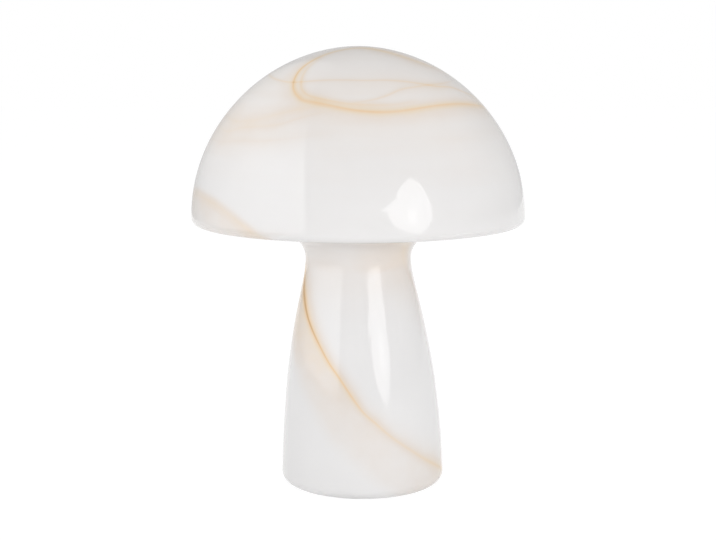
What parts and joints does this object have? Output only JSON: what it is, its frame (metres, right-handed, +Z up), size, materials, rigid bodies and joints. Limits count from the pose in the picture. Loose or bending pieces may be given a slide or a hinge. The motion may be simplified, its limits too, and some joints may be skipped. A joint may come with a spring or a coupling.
{
  "type": "mushroom table lamp",
  "caption": "Mushroom table lamp: a blown opal glass shade, cap and stem in one, that lifts off a weighted stand with a screw-in bulb.",
  "frame": {"origin": "on the table, on the lamp's axis, under the middle of the foot", "axes": "+Z up along the lamp's axis, +Y towards the back where the cord leaves, +X to the right seen from the front"},
  "size_m": [0.22, 0.22, 0.2904],
  "materials": {
    "opal_glass": "glossy blown opal with amber streaks",
    "white_paint": "satin powder coat",
    "cast_weight": "rough cast, oiled",
    "foam_pad": "matt foam sheet",
    "clear_silicone": "translucent, slightly milky",
    "white_pvc": "soft satin",
    "zinc_steel": "bright zinc plate",
    "white_thermoplastic": "fine satin moulding",
    "steatite": "unglazed",
    "spring_brass": "bright rolled strip",
    "nickel_cap": "nickel plate",
    "solder": "dull solder",
    "black_glass": "glossy black pressed glass",
    "bulb_opal": "satin opal coat",
    "clear_glass": "clear",
    "phosphor": "soft silicone with phosphor",
    "circuit_board": "printed board with a wound choke"
  },
  "bodies": {
    "stand": {"base_pad": "foam_pad", "base_cover": "white_paint", "centring_ring": "clear_silicone", "base_weight": "cast_weight", "cord_grommet": "white_pvc", "threaded_tube": "zinc_steel", "tube_nut": "zinc_steel", "lock_washer": "zinc_steel", "sleeve_tube": "white_paint", "holder_cap": "white_thermoplastic", "stop_screw": "zinc_steel", "holder_insert": "steatite", "centre_contact": "spring_brass", "side_contact": "spring_brass", "terminal_screws": "zinc_steel", "holder_shell": "white_thermoplastic"},
    "glass": {"glass_body": "opal_glass"},
    "bulb_tip": {"bulb_contact": "solder"},
    "bulb": {"bulb_insulator": "black_glass", "bulb_cap": "nickel_cap", "bulb_envelope": "bulb_opal", "led_stem": "clear_glass", "led_filaments": "phosphor", "filament_wires": "zinc_steel", "bulb_driver": "circuit_board"}
  },
  "joints": [
    {"name": "glass_lift", "type": "slide", "parent": "stand", "child": "glass", "axis": [0, 0, 1], "range_m": [0, 0.22]},
    {"name": "bulb_rise", "type": "slide", "parent": "stand", "child": "bulb_tip", "axis": [0, 0, 1], "range_m": [0, 0.0128]},
    {"name": "bulb_turn", "type": "hinge", "parent": "bulb_tip", "child": "bulb", "pos_m": [0, 0, 0.13005], "axis": [0, 0, 1], "range_deg": [0, 1620]}
  ],
  "couplings": [
    {"joint": "bulb_rise", "follows": "bulb_turn", "m_per_rad": 0.000449}
  ]
}
